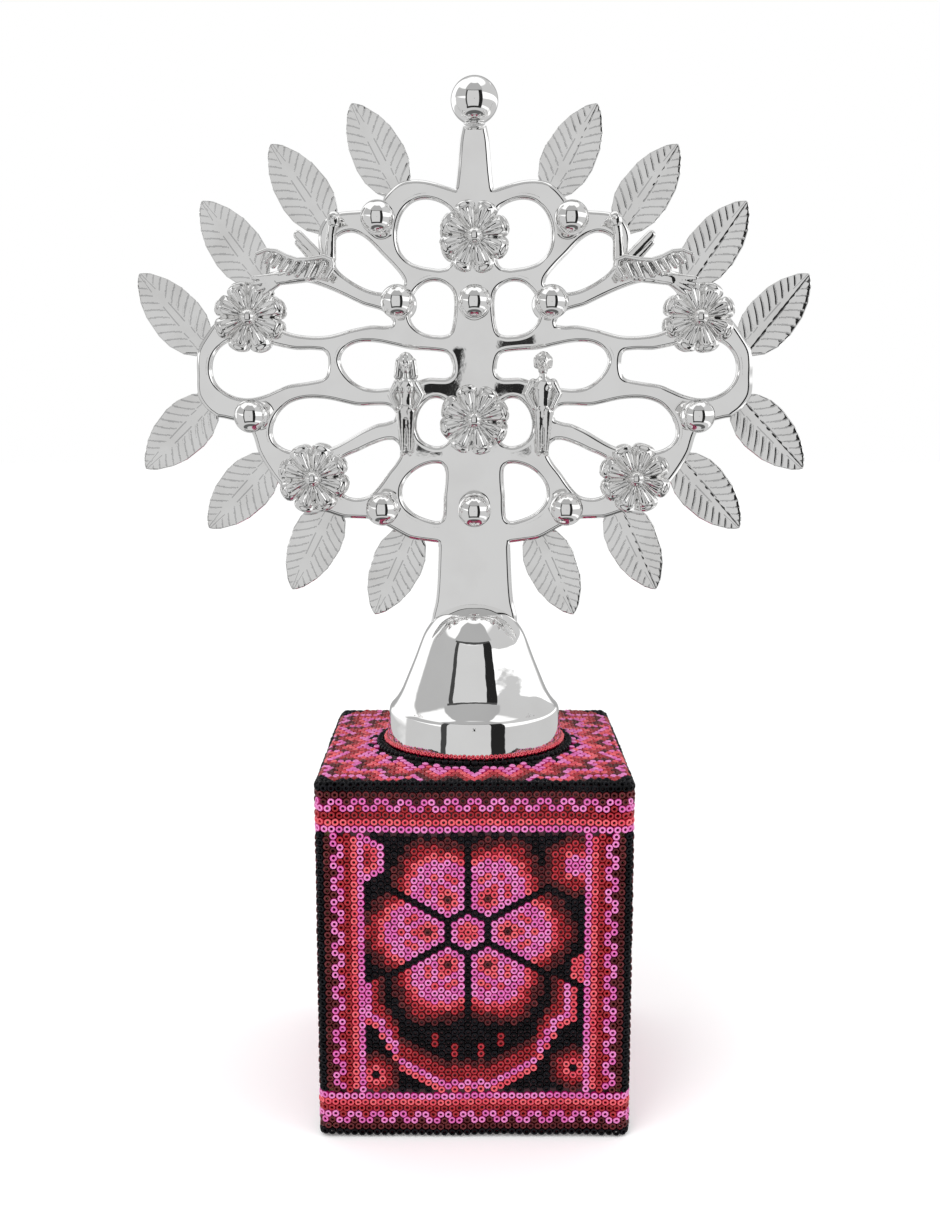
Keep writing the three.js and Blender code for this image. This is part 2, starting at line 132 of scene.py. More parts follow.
# Darker silver for the creases of the flowers and castings: painted shade.
CREASE_SHADE = metal("crease_shade_silver", (0.4, 0.4, 0.4), (0.26, 0.26, 0.26), (0.12, 0.3),
              (260, 0.03), (1500, 0.003))
STEEL = metal("brushed_steel", (0.56, 0.57, 0.58), (0.42, 0.42, 0.43), (0.28, 0.42),
              (200, 0.02), (1800, 0.01))


def grained(name, values, pattern, colours, depth, spread=None):
    """A material in two colours, with a relief of the same pattern, `depth` mm deep."""
    made, tree, shader = material(name, values)
    grain = noise(tree, *pattern)
    share = spread_to(tree, grain, *spread) if spread else grain
    tree.links.new(blend_colours(tree, share, *colours), shader.inputs["Base Color"])
    bump = node(tree, "ShaderNodeBump", {"Height": grain, "Distance": depth * MM})
    tree.links.new(bump.outputs[0], shader.inputs["Normal"])
    return made


WOOD = grained("pine_block", {"Roughness": 0.62}, (60, 6, (1, 1, 0.08)),
               ((0.58, 0.38, 0.2), (0.36, 0.2, 0.09)), 0.1, (0, 1))
FELT = grained("brown_felt", {"Roughness": 0.95, "Sheen Weight": 0.5}, (1600, 6, (1, 0.3, 1)),
               ((0.05, 0.028, 0.022), (0.022, 0.013, 0.01)), 0.25)
WAX = grained("dark_wax", {"Roughness": 0.45}, (250, 4),
              ((0.022, 0.004, 0.006), (0.07, 0.012, 0.02)), 0.2)

# Glass colours: the deep colour of a bead's wall, which is painted shade, and its lighter
# rim, a painted highlight, in two shades, as the beads of one string differ a little.
BEAD_COLOURS = {
    "black": ((0.0015, 0.0015, 0.002), (0.004, 0.004, 0.005), (0.007, 0.007, 0.009)),
    "maroon": ((0.03, 0.001, 0.003), (0.07, 0.008, 0.01), (0.1, 0.014, 0.016)),
    "red": ((0.16, 0.001, 0.005), (0.27, 0.008, 0.014), (0.35, 0.014, 0.024)),
    "coral": ((0.36, 0.005, 0.026), (0.62, 0.06, 0.09), (0.7, 0.1, 0.125)),
    "pink": ((0.36, 0.002, 0.11), (0.62, 0.12, 0.38), (0.7, 0.2, 0.48))}
SHADES = 3
SHINE = {"black": 0.08, "maroon": 0.3, "red": 0.5, "coral": 0.5, "pink": 0.5}


def bead_glass():
    return [material(f"bead_{colour}_{index}", {
        "Base Color": (*rgb, 1), "Roughness": 0.16 + 0.05 * index,
        "Specular IOR Level": SHINE[colour], "Coat Weight": 0.4 * SHINE[colour],
        "Coat Roughness": 0.06})[0]
        for colour, shades in BEAD_COLOURS.items() for index, rgb in enumerate(shades)]


# ---- meshes
def new_object(name, data):
    made = bpy.data.objects.new(name, data)
    bpy.context.scene.collection.objects.link(made)
    return made


def piece(name, points, faces, finishes, slot, replaced=(), slots=None, smooth=None):
    """A finished piece from points in millimetres. It rides on the one body. Slots and
    smooth say which finish each face has, and whether it is shaded smooth."""
    mesh = bpy.data.meshes.new(name)
    mesh.from_pydata((np.asarray(points, float) * MM).tolist(), [], faces)
    mesh.update()
    mesh.polygons.foreach_set("use_smooth", smooth or [True] * len(faces))
    for finish in finishes:
        mesh.materials.append(finish)
    if slots is not None:
        mesh.polygons.foreach_set("material_index", slots)
    made = new_object(name, mesh)
    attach(made, "root")
    if replaced:
        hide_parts(*replaced)
    return made


def paint_crease_shade(made, least):
    """Paint shade into creases: the second, darker finish goes to the faces in hollows that
    curve more than `least` per mm.
    """
    mesh = made.data
    count, edges = len(mesh.vertices), np.zeros(2 * len(mesh.edges), int)
    points, normals = np.zeros(3 * count), np.zeros(3 * count)
    mesh.vertices.foreach_get("co", points)
    mesh.vertex_normals.foreach_get("vector", normals)
    mesh.edges.foreach_get("vertices", edges)
    points, normals = points.reshape(-1, 3) / MM, normals.reshape(-1, 3)
    one, other = edges.reshape(-1, 2).T

    def gather(at_one, at_other):
        return np.bincount(one, at_one, count) + np.bincount(other, at_other, count)

    ways = points[other] - points[one]
    squared = (ways ** 2).sum(1) + 1e-6
    share = np.maximum(gather(None, None), 1)
    hollow = 2 * gather((ways * normals[one]).sum(1) / squared,
                        -(ways * normals[other]).sum(1) / squared) / share
    for _ in range(2):
        hollow = 0.5 * hollow + 0.5 * gather(hollow[other], hollow[one]) / share
    mesh.polygons.foreach_set("material_index", [
        int(hollow[list(face.vertices)].mean() > least) for face in mesh.polygons])


def turned_faces(count, sides):
    """Faces of a turned shape with `count` points in each of its profiles."""
    faces = []
    for side in range(sides):
        one, two = side * count, (side + 1) % sides * count
        for step in range(count - 1):
            faces.append([one + step, two + step, two + step + 1, one + step + 1])
    return faces


def lathe(profile, sides, axis="z", at=(0, 0, 0), sign=1):
    """Points and faces of a turned shape. Its profile [radius, height] runs from its
    lowest point on the axis to its highest, so that the faces look outwards."""
    points = []
    for side in range(sides):
        angle = TAU * side / sides
        for radius, height in profile:
            x, y = radius * math.cos(angle), radius * math.sin(angle)
            local = (x, y, height) if axis == "z" else (x, sign * height, -sign * y)
            points.append([a + b for a, b in zip(local, at)])
    return weld(points, turned_faces(len(profile), sides))


def merged(points, digits):
    """Points at the same place become one: those left, and where each of them went."""
    points = np.asarray(points, float)
    _, first, index = np.unique(
        np.round(points, digits), axis=0, return_index=True, return_inverse=True)
    return points[first], index.ravel()


def weld(points, faces):
    """Points at the same place become one, and faces that lose their area go."""
    points, index = merged(points, 4)
    kept = []
    for face in faces:
        ring = [int(index[i]) for i in face]
        ring = [p for p, q in zip(ring, ring[1:] + ring[:1]) if p != q]
        if len(ring) > 2:
            kept.append(ring)
    return points, kept


def between(t0, t1, p0, p1, t):
    return (t1 - t) / (t1 - t0) * p0 + (t - t0) / (t1 - t0) * p1


def smooth_curve(points, steps, closed=True):
    """A smooth curve through points (centripetal), with steps between neighbours."""
    pts = np.asarray(points, float)
    count = len(pts)
    if not closed:
        pts = np.vstack([2 * pts[0] - pts[1], pts, 2 * pts[-1] - pts[-2]])
    out = []
    for i in range(count if closed else count - 1):
        four = [pts[(i + k - 1) % count] if closed else pts[i + k] for k in range(4)]
        t = [0.0]
        for a, b in zip(four, four[1:]):
            t.append(t[-1] + max(np.linalg.norm(b - a), 1e-6) ** 0.5)
        for step in range(steps):
            s = t[1] + (t[2] - t[1]) * step / steps
            row = [between(t[k], t[k + 1], four[k], four[k + 1], s) for k in range(3)]
            row = [between(t[k], t[k + 2], row[k], row[k + 1], s) for k in range(2)]
            out.append(between(t[1], t[2], *row, s))
    if not closed:
        out.append(pts[-2])
    return np.array(out)


def sheet_faces(rows, columns, closed=False, flip=False):
    """Faces of two grids of points, the front and back of a thin sheet, and of its edge
    along the last row."""
    size, faces = rows * columns, []
    for i in range(rows):
        for j in range(columns if closed else columns - 1):
            a, b = i * columns + j, i * columns + (j + 1) % columns
            if i < rows - 1:
                ring = [a, a + columns, b + columns, b]
                faces += [ring, [size + k for k in reversed(ring)]]
            else:
                faces.append([a, size + a, size + b, b])
    return [face[::-1] for face in faces] if flip else faces


def node_points(name):
    """A CAD node's corners in millimetres, and its triangles."""
    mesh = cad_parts[name].data
    points = np.array([v.co for v in mesh.vertices]) / MM
    mesh.calc_loop_triangles()
    return points, [tuple(t.vertices) for t in mesh.loop_triangles]


def box_middle(name):
    low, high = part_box(name)
    return (low + high) / 2 / MM


def half_size(name, axis=0):
    """Half of the size of a CAD node's box along X, Y or Z (0, 1 or 2)."""
    low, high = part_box(name)
    return (high[axis] - low[axis]) / 2 / MM


def nodes_called(start):
    return [name for name in sorted(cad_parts) if name.startswith(start)]


# ---- tree plate
EDGE_RADIUS = 1.2  # from the face to the side
EDGE_REACH = 1.6  # how far in from its edge the face starts to turn
EDGE_ROWS = 7  # in a quarter turn
SHARP = math.radians(32)  # corners that turn more than this stay sharp


def front_edges(name):
    """The closed edges of a flat node's front face: runs of [x, z] points, with the metal
    on their left as seen from the front."""
    points, triangles = node_points(name)
    points, index = merged(points, 3)
    front = points[:, 1].min() + 0.01
    edges = {}
    for triangle in triangles:
        a, b, c = (int(index[i]) for i in triangle)
        if max(points[a][1], points[b][1], points[c][1]) > front:
            continue
        for edge in ((a, b), (b, c), (c, a)):
            if not edges.pop(edge[::-1], False):
                edges[edge] = True
    onward = dict(edges.keys())
    loops = []
    while onward:
        loop, here = [], min(onward)
        while here in onward:
            loop.append(here)
            here = onward.pop(here)
        loops.append(points[loop][:, [0, 2]])
    return loops


def refine(loop, steps):
    """A finer smooth edge that keeps its sharp corners."""
    before, after = np.roll(loop, 1, 0), np.roll(loop, -1, 0)
    a, b = loop - before, after - loop
    turn = np.abs(np.arctan2(a[:, 0] * b[:, 1] - a[:, 1] * b[:, 0], (a * b).sum(1)))
    corners = np.flatnonzero(turn > SHARP)
    if len(corners) == 0:
        return smooth_curve(loop, steps)
    out = []
    for one, two in zip(corners, np.append(corners[1:], corners[0] + len(loop))):
        run = loop[np.arange(one, two + 1) % len(loop)]
        out.append(run[:-1] if len(run) < 3 else smooth_curve(run, steps, False)[:-1])
    return np.vstack(out)


def inset(loop, distance):
    """The edge moved into the metal on its left."""
    before, after = np.roll(loop, 1, 0), np.roll(loop, -1, 0)
    a = (loop - before) / np.linalg.norm(loop - before, axis=1)[:, None]
    b = (after - loop) / np.linalg.norm(after - loop, axis=1)[:, None]
    na, nb = np.c_[-a[:, 1], a[:, 0]], np.c_[-b[:, 1], b[:, 0]]
    middle = na + nb
    middle /= np.maximum(np.linalg.norm(middle, axis=1)[:, None], 1e-6)
    reach = 1 / np.maximum((middle * na).sum(1), 0.5)
    moved = loop + middle * (distance * reach)[:, None]
    for _ in range(12):
        back = ((np.roll(moved, -1, 0) - moved) * (after - loop)).sum(1) < 0
        if not back.any():
            break
        for i in np.flatnonzero(back):
            j = (i + 1) % len(moved)
            moved[i] = moved[j] = (moved[i] + moved[j]) / 2
    return moved


def tree_plate():
    """The flat tree between smooth edges, with its edges rounded."""
    half = half_size("tree_plate", 1)
    rows = [(EDGE_REACH * (1 - math.sin(t)), -(half - EDGE_RADIUS + EDGE_RADIUS * math.cos(t)))
            for t in np.linspace(0, math.pi / 2, EDGE_ROWS)]
    rows += [(d, -y) for d, y in reversed(rows)]
    points, faces = [], []
    outline = {-1: [], 1: []}
    for edge in front_edges("tree_plate"):
        loop = refine(edge, 4)
        first, size = len(points), len(loop)
        for distance, y in rows:
            ring = inset(loop, distance) if distance > 1e-6 else loop
            points.extend([x, y, z] for x, z in ring)
        for row in range(len(rows) - 1):
            for i in range(size):
                j = (i + 1) % size
                a, b = first + row * size, first + (row + 1) * size
                faces.append([a + i, b + i, b + j, a + j])
        last = first + (len(rows) - 1) * size
        outline[-1].append(range(first, first + size))
        outline[1].append(range(last, last + size))
    smooth = [True] * len(faces)
    for side, rings in outline.items():
        index = [i for ring in rings for i in ring]
        shape = [[Vector((points[i][0], points[i][2], 0)) for i in ring] for ring in rings]
        for triangle in tessellate_polygon(shape):
            a, b, c = (Vector((points[index[i]][0], points[index[i]][2])) for i in triangle)
            area = (b - a).cross(c - a)
            order = triangle if (area > 0) == (side < 0) else triangle[::-1]
            faces.append([index[i] for i in order])
            smooth.append(False)
    piece("cut_tree", points, faces, [SILVER_FLAT], "silver_plate", ["tree_plate"],
          smooth=smooth)


tree_plate()


# ---- leaves
LEAF_LENGTH = 28.0
LEAF_HALF = 0.6  # half the thickness of a CAD leaf
# Half of a leaf's width at distances from its tip: [distance, half width].
LEAF_SIDE = np.array([(0, 0), (0.5, 0.9), (2, 2.5), (6, 5), (10, 6.45), (16, 7.2),
                      (20, 6.8), (24, 5.2), (27, 2.6), (28, 0.6)], float)
VEINS = 11  # on each side of the midrib
LEAF_ROWS, LEAF_COLUMNS = 132, 22  # along the leaf, and on each side


def leaf_width(s):
    return np.interp(s, LEAF_SIDE[:, 0], LEAF_SIDE[:, 1])


def leaf_surface(s, across):
    """Height of the front of a leaf, at a distance from its tip and a share of its half
    width, and how far the place lies in one of its lines (0..1)."""
    side = np.abs(across) * leaf_width(s)
    rib = 0.28 + 1.25 * (s / LEAF_LENGTH) ** 0.9
    vein = (s + 1.15 * side - 0.05 * side**2) / (LEAF_LENGTH / VEINS) + 0.3
    phase = vein - np.floor(vein)
    fade = np.clip((1 - np.abs(across)) / 0.12, 0, 1)
    groove = np.exp(-(((phase - 0.5) / 0.11) ** 2))
    groove = fade**0.5 * groove * np.clip((side - rib) / 0.8, 0, 1)
    lobe = 0.02 * fade * np.cos(TAU * phase)
    dome = 0.17 * (1 - np.abs(across) ** 2.6)
    rise = np.clip((rib - side) / 0.45, 0, 1)
    bar = (0.11 - 0.04 * (np.clip(side / rib, 0, 1) ** 2)) * rise**0.7
    drop = 0.05 * np.clip((np.abs(across) - 0.8) / 0.2, 0, 1)
    # Lines: the grooves and the edges of the midrib, which are given darker silver as painted
    # shade.
    shaded_lines = np.maximum(groove, (np.abs(side - rib) < 0.11) * 1.0)
    return dome + (lobe - 0.09 * groove - drop) * (1 - rise) + bar * rise, shaded_lines


def leaf_shape():
    """A leaf that lies along +X from its tip, with its front towards -Y."""
    s = LEAF_LENGTH * np.linspace(0, 1, LEAF_ROWS) ** 1.05
    across = np.linspace(-1, 1, 2 * LEAF_COLUMNS + 1)
    across = np.sign(across) * np.abs(across) ** 0.9
    s, across = np.meshgrid(s, across, indexing="ij")
    front, _ = leaf_surface(s, across)
    x, z = s, across * leaf_width(s)
    edge = (np.abs(across) > 0.999) | (s < 1e-6)
    near = np.where(edge, 0.0, -front - 0.1)
    far = np.where(edge, 0.0, 0.35 - 0.75 * front)
    points = np.vstack([np.c_[x.ravel(), y.ravel(), z.ravel()] for y in (near, far)])
    return weld(points, sheet_faces(*s.shape))


def leaf_place(name):
    """The tip of a CAD leaf and the way to its base, in X and Z."""
    points, _ = node_points(name)
    blade = points[np.abs(np.abs(points[:, 1]) - LEAF_HALF) < 0.05][:, [0, 2]]
    blade = np.unique(np.round(blade, 2), axis=0)
    centre = np.array([0.0, box_middle("tree_plate").z])
    tip = blade[np.argmax(np.linalg.norm(blade - centre, axis=1))]
    reach = np.linalg.norm(blade - tip, axis=1)
    inner = blade[(reach > 1) & (reach < 13)].mean(0) - tip
    return tip, inner / np.linalg.norm(inner)


def leaves():
    points, faces = leaf_shape()
    middles = np.array([points[list(face)].mean(0) for face in faces])
    width = leaf_width(middles[:, 0])
    _, shaded_lines = leaf_surface(middles[:, 0], np.clip(middles[:, 2] / width, -1, 1))
    # Painted shade: the faces on the grooves and along the midrib's edges get the darker
    # silver.
    vein_shade_slots = (shaded_lines > 0.45).astype(int)
    for side in ("left", "right"):
        for number in range(1, 9):
            name = f"leaf_{side}_{number}"
            tip, along = leaf_place(name)
            bend = 0.25 * math.sin(number * 2.3 + (side == "left"))
            x = tip[0] + along[0] * points[:, 0] - along[1] * points[:, 2]
            z = tip[1] + along[1] * points[:, 0] + along[0] * points[:, 2]
            lift = bend * ((LEAF_LENGTH - points[:, 0]) / LEAF_LENGTH) ** 2
            piece(f"veined_{name}", np.c_[x, points[:, 1] + lift, z], faces,
                  [SILVER_CAST, VEIN_SHADE], "silver_plate", [name], vein_shade_slots)


leaves()


# ---- turned metal
def arc(radius, centre, start, end, steps):
    """Points [radius, height] round part of a circle about a point on the axis."""
    return [(radius * math.cos(t) if math.pi / 2 - t > 1e-6 else 0.0,
             centre + radius * math.sin(t)) for t in np.linspace(start, end, steps)]


def finial():
    bottom, top = (corner.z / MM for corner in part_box("finial_ball"))
    radius = half_size("finial_ball")
    profile = [(0, bottom), (2.6, bottom), (2.9, bottom + 0.3), (2.5, bottom + 0.7)]
    profile += arc(radius, top - radius, -1.16, math.pi / 2, 40)
    piece("spire_ball", *lathe(profile, 72), [SILVER], "silver_plate", ["finial_ball"])


BALL_FOOT = [(0, 1.3), (1.9, 1.35), (1.5, 1.8), (1.3, 2.6)]  # [radius, distance]


def balls():
    for name in nodes_called("ball_"):
        middle = box_middle(name)
        sign = -1 if middle.y < 0 else 1
        low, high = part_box(name)
        radius = half_size(name, 2)
        reach = max(abs(low.y), abs(high.y)) / MM
        profile = BALL_FOOT + arc(radius, reach - radius, -1.28, math.pi / 2, 30)
        piece(f"polished_{name}", *lathe(profile, 48, "y", (middle.x, 0, middle.z), sign),
              [SILVER], "silver_plate", [name])


# The outside of the bell from its rim to its crown: [radius, height].
BELL_SHAPE = [(25.1, 97), (25, 99), (24.85, 101.5), (24.65, 104), (24.45, 106.5),
              (24.3, 108.5), (24.1, 109.8), (23.75, 110.5), (23.1, 111.2), (22.2, 112.3),
              (21.3, 113.7), (20.5, 115.2), (19.85, 116.7), (18.9, 119), (17.75, 121.8),
              (16.6, 124.7), (15.6, 127.4), (14.6, 130), (13.75, 131.8), (12.5, 133.7),
              (10.9, 135.7), (9.2, 137.2), (7.2, 138.2), (4.8, 139), (2.4, 139.4)]
BELL_WALL, BELL_ROOF = 1.6, 1.3  # its thickness at the rim and at the crown


def bell():
    bottom, crown = (corner.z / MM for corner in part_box("foot_bell"))
    shift = bottom - BELL_SHAPE[0][1]
    outside = [(r, z + shift) for r, z in smooth_curve(BELL_SHAPE, 4, False)]
    inside = [(max(r - BELL_WALL, 0.0), z - BELL_ROOF * (1 - r / 25)) for r, z in outside]
    profile = [(0, crown - 1.5), *reversed(inside), *outside, (0, crown)]
    piece("foot_bell_shell", *lathe(profile, 128), [SILVER], "silver_plate", ["foot_bell"])


finial()
balls()
bell()


# ---- flowers
PETALS = 8
FLOWER_RINGS, FLOWER_SPOKES = 30, 24  # across the flower, and round each petal
FLOWER_START = 3.4  # from the plate's middle to the back of the petals


def flower_height(share, turn, radius):
    """Height of the petals: share of the way to the rim, turn within a petal (-1..1)."""
    r = share * radius
    gap = np.abs(turn) ** 3 * np.clip((share - 0.18) / 0.3, 0, 1)
    cup = 0.9 * np.sin(math.pi * np.clip(share, 0, 1) ** 0.8) ** 0.7
    reach = np.clip((r - 2.2) / 1.2, 0, 1) * np.clip((0.84 * radius - r) / 0.9, 0, 1)
    ridges = 0.34 * np.abs(np.cos(math.pi * 1.5 * turn)) ** 1.5 * reach
    loop = 0.3 * np.exp(-(((r - 0.8 * radius) / 0.5) ** 2)) * np.exp(-((turn / 0.6) ** 4))
    lip = 0.42 * np.exp(-(((share - 0.93) / 0.05) ** 2)) * np.exp(-((turn / 0.35) ** 2))
    return cup + ridges + loop + lip - 0.95 * gap


def flower_shape(radius, sign):
    """Petals round a small ball, on a short post along the plate's depth."""
    spokes = PETALS * FLOWER_SPOKES
    share = np.linspace(0, 1, FLOWER_RINGS)
    angle = np.arange(spokes) / spokes * TAU
    turn = (angle / TAU * PETALS) % 1.0 * 2 - 1
    share, turn_grid = np.meshgrid(share, turn, indexing="ij")
    angle_grid = np.broadcast_to(angle, share.shape)
    reach = radius * (0.74 + 0.26 * np.sqrt(np.clip(1 - np.abs(turn_grid) ** 2.6, 0, 1)))
    r = share * reach
    height = flower_height(share, turn_grid, radius)
    rim = share > 0.999
    front = np.where(rim, 0.5, 0.75 + height)
    back = np.where(rim, 0.3, 0.55 * height - 0.25)
    x, z = r * np.cos(angle_grid), r * np.sin(angle_grid)
    points = np.vstack([np.c_[x.ravel(), sign * (FLOWER_START + y.ravel()), z.ravel()]
                        for y in (front, back)])
    points, faces = weld(points, sheet_faces(FLOWER_RINGS, spokes, True, sign > 0))
    centre = [(0, 1.3), (2, 1.35), (1.7, FLOWER_START + 0.4), (1.9, FLOWER_START + 1.1)]
    centre += arc(2.25, FLOWER_START + 1.9, -0.6, math.pi / 2, 14)
    more, more_faces = lathe(centre, 40, "y", (0, 0, 0), sign)
    faces += [[i + len(points) for i in face] for face in more_faces]
    return np.vstack([points, more]), faces


def flowers():
    for name in nodes_called("flower_"):
        middle = box_middle(name)
        sign = -1 if middle.y < 0 else 1
        points, faces = flower_shape(half_size(name) + 0.35, sign)
        turn = rng.uniform(-0.12, 0.12)
        x = points[:, 0] * math.cos(turn) - points[:, 2] * math.sin(turn)
        z = points[:, 0] * math.sin(turn) + points[:, 2] * math.cos(turn)
        flower = piece(f"petals_{name}", np.c_[x + middle.x, points[:, 1], z + middle.z],
                       faces, [SILVER_CAST, CREASE_SHADE], "silver_plate", [name])
        # Painted shade: the faces in the flower's creases get the darker silver.
        paint_crease_shade(flower, 1.0)


flowers()


# ---- birds and figures
CASTING_DEPTH = -8.0  # the middle of a bird or figure, in front of the plate


def capsule(start, end, r0, r1, flat=1.0):
    """A rod with round ends, [x, depth, z] in millimetres, flattened in depth."""
    ball = bmesh.new()
    for at, radius in ((start, r0), (end, r1)):
        made = bmesh.ops.create_icosphere(ball, subdivisions=2, radius=radius)
        for vert in made["verts"]:
            vert.co = Vector((vert.co.x, vert.co.y * flat, vert.co.z)) + Vector(at)
    hull = bmesh.ops.convex_hull(ball, input=ball.verts)
    loose = [e for e in hull["geom_interior"] if isinstance(e, bmesh.types.BMVert)]
    bmesh.ops.delete(ball, geom=loose, context="VERTS")
    return ball


def placed(rods, x, z, side=1):
    """Rods moved from the origin to their place on the tree, and mirrored if side is -1."""
    return [(*((x + side * end[0], CASTING_DEPTH + end[1], z + end[2]) for end in rod[:2]),
             *rod[2:]) for rod in rods]


def sculpt(name, parts, voxel, smoothing, replaced):
    """One soft-edged casting made from overlapping rods."""
    whole = bmesh.new()
    for part in parts:
        rod = capsule(*part)
        mesh = bpy.data.meshes.new("rod")
        rod.to_mesh(mesh)
        whole.from_mesh(mesh)
        bpy.data.meshes.remove(mesh)
    bmesh.ops.recalc_face_normals(whole, faces=whole.faces)
    mesh = bpy.data.meshes.new(name)
    whole.to_mesh(mesh)
    rough = new_object(name, mesh)
    remesh = rough.modifiers.new("remesh", "REMESH")
    remesh.mode, remesh.voxel_size = "VOXEL", voxel
    soft = rough.modifiers.new("soft", "SMOOTH")
    soft.factor, soft.iterations = 0.5, smoothing
    done = bpy.data.meshes.new_from_object(
        rough.evaluated_get(bpy.context.evaluated_depsgraph_get()))
    bpy.data.objects.remove(rough)
    points = np.array([v.co for v in done.vertices])
    faces = [list(p.vertices) for p in done.polygons]
    casting = piece(name, points, faces, [SILVER_CAST, CREASE_SHADE], "silver_plate", [replaced])
    # Painted shade: the faces in the casting's creases get the darker silver.
    paint_crease_shade(casting, 0.9)


# Bird: rods [x, depth, z] with two radii and a flatness, facing -X, measured from the
# middle of the CAD bird's box. The tail, feathers and wings are given in X and Z only.
BIRD_BODY = [
    ((-9.3, 0, 9.2), (-9.2, 0, 8.2), 1.85, 1.9, 0.8),  # head
    ((-10.6, 0, 8.6), (-12, 0, 8.3), 0.85, 0.25, 0.8),  # beak
    ((-9.1, 0, 8.4), (-8.5, 0, 5), 1.55, 1.35, 0.8),  # neck
    ((-8.5, 0, 5), (-8.1, 0, -1.5), 1.35, 1.7, 0.8),
    ((-7.6, 0, -3), (-4.6, 0, -4.9), 2.2, 2.5, 0.65),  # breast
    ((-4.6, 0, -4.9), (1, 0, -5.9), 2.5, 2.1, 0.62),  # belly
    ((1, 0, -5.9), (6, 0, -7), 2.1, 1.5, 0.6)]
BIRD_TAIL = [((5, -6.6), (9.9, -10.4), 1.4, 0.6), ((5.2, -6.6), (11.5, -9.5), 1.4, 0.6),
             ((5.4, -6.5), (12.5, -8), 1.4, 0.6), ((5.6, -6.3), (12.7, -6.5), 1.3, 0.6)]
WING_EDGE = [(-7.4, -6.2), (-8.8, -4), (-8.6, -1.9), (-6.6, -1.1), (-3, -1.7), (0.4, -1.9),
             (3.2, -1), (6, 0.4), (8.6, 0.7), (11.2, -0.3)]
FEATHERS = [((-6.6, -2.9), (-4.8, -6.1)), ((-3.9, -2.7), (-2, -6.3)),
            ((-1.3, -2.7), (0.7, -5.6)), ((1.1, -2.4), (3, -5)), ((3.3, -1.7), (5.1, -4.2)),
            ((5.3, -0.9), (7, -3.3)), ((7.3, -0.4), (8.9, -2.1))]
FAR_WING = [((-4.8, -0.6), (0.4, 4.8), 1.5, 1.35), ((-3.6, -1.4), (0.5, 2.8), 1.3, 0.95)]
BIRD_EYE = ((-9.6, -1.35, 9.2), (-9.6, -1.45, 9.2), 0.42, 0.42, 1)
BIRD_POSTS = [(-6.3, -2.4), (3.1, -6.3)]
POST_END = 6.6  # depth at which a casting's posts meet the plate


def bird(name, side):
    middle = box_middle(name)
    rods = list(BIRD_BODY)
    for (x0, z0), (x1, z1), r0, r1 in BIRD_TAIL:
        rods.append(((x0, 0, z0), (x1, 0.1, z1), r0, r1, 0.6))
    for index, ((x0, z0), (x1, z1)) in enumerate(zip(WING_EDGE, WING_EDGE[1:])):
        thick = 0.8 - 0.035 * index
        rods.append(((x0, -2.1, z0), (x1, -2.1, z1), thick, thick, 0.8))
    for index, ((x0, z0), (x1, z1)) in enumerate(FEATHERS):
        thick = 1 - 0.055 * index
        rods.append(((x0, -1.75, z0), (x1, -1.6, z1), thick, 0.6 * thick, 1))
        rods.append(((x0, -1.1, z0), (x1, -1, z1), 1.3 - 0.06 * index, 0.9, 0.6))
    for (x0, z0), (x1, z1), r0, r1 in FAR_WING:
        rods.append(((x0, 0.4, z0), (x1, 0.7, z1), r0, r1, 0.6))
    rods.append(BIRD_EYE)
    rods += [((x, 0.4, z), (x, POST_END, z), 1.1, 1.1, 1) for x, z in BIRD_POSTS]
    sculpt(f"cast_{name}", placed(rods, middle.x, middle.z, side), 0.15, 2, name)


bird("bird_left", -1)
bird("bird_right", 1)

# Figure: rods [x, depth, height above its feet] with two radii and a flatness. The limbs
# are those of one side, and the other side mirrors them, with the eye.
FIGURE_LEG = [
    ((1, 0, 12), (1, -0.1, 7), 1.95, 1.3, 1),  # thigh
    ((1, -0.1, 7), (0.9, 0.2, 1.4), 1.3, 0.8, 1),  # shin
    ((0.9, 0.1, 0.9), (1.1, -1.3, 0.6), 0.85, 0.6, 1)]  # foot
FIGURE_SIDE = {  # chest, arm in two parts, and the hair beside the face
    "woman": [((1.15, -1, 18), (1.15, -1, 18.1), 1, 1, 1),
              ((2.3, 0, 19.8), (4.2, 0.3, 16.6), 1.15, 0.9, 1),
              ((4.2, 0.3, 16.6), (2.6, -0.9, 13.2), 0.9, 0.75, 1),
              ((1.9, 0.3, 25.6), (2.3, 0.4, 21.8), 1, 1.1, 1)],
    "man": [((1.2, -0.75, 18.6), (0.9, -0.75, 18.4), 1.3, 1.2, 0.9),
            ((2.7, 0, 19.8), (4.3, 0.3, 16.9), 1.3, 1, 1),
            ((4.3, 0.3, 16.9), (2.6, -0.9, 13.4), 1, 0.85, 1),
            ((1.5, 0.3, 26), (1.6, 0.4, 24.6), 1.2, 1, 1)]}
FIGURE_TRUNK = {
    "woman": [((0, 0, 11.7), (0, 0, 12.4), 2.7, 2.6, 0.75),
              ((0, 0, 13), (0, 0, 15.8), 2.1, 1.9, 0.75),
              ((0, 0, 16), (0, 0, 19), 1.9, 2.6, 0.72)],
    "man": [((0, 0, 11.6), (0, 0, 12.4), 2.4, 2.4, 0.78),
            ((0, 0, 13), (0, 0, 15.6), 2.1, 2.2, 0.75),
            ((0, 0, 16), (0, 0, 18.9), 2.3, 2.9, 0.7)]}
FIGURE_HEAD = [
    ((0, 0, 20), (0, 0, 22.4), 1.2, 1.05, 1),  # neck
    ((0, -0.2, 23.4), (0, -0.1, 25.3), 1.3, 1.7, 1),  # head
    ((0, -1.85, 24.3), (0, -1.75, 25), 0.28, 0.2, 1),  # nose
    ((-0.3, -1.55, 23.3), (0.3, -1.55, 23.3), 0.2, 0.2, 1)]  # mouth
